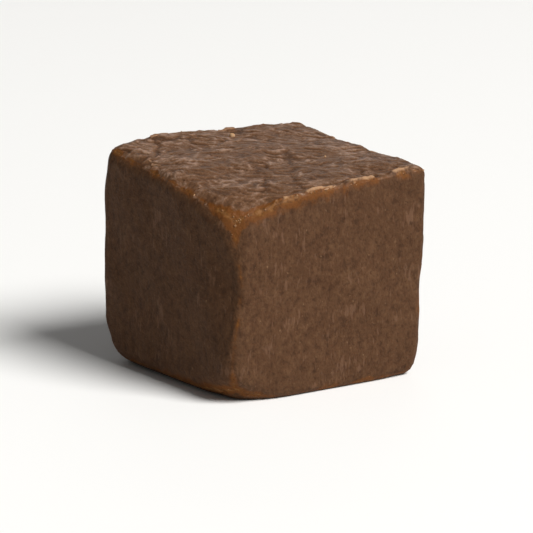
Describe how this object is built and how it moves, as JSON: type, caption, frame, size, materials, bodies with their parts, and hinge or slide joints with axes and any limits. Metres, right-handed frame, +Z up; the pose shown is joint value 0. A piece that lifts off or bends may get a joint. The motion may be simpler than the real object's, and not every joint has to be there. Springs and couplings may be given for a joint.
{
  "type": "fudge cube",
  "caption": "Knife-cut cube of chocolate fudge with worn edges, a slumped corner and a dried, folded skin on top.",
  "frame": {"origin": "centre of the cube's outline, on the surface that it stands on", "axes": "+Z up; X along the longer side of the cube, Y along the shorter one; the slumped corner is at -X, -Y"},
  "size_m": [0.0266, 0.0252, 0.0245],
  "materials": {
    "fudge": "satin"
  },
  "bodies": {
    "root": {"fudge_cube": "fudge"}
  },
  "joints": []
}
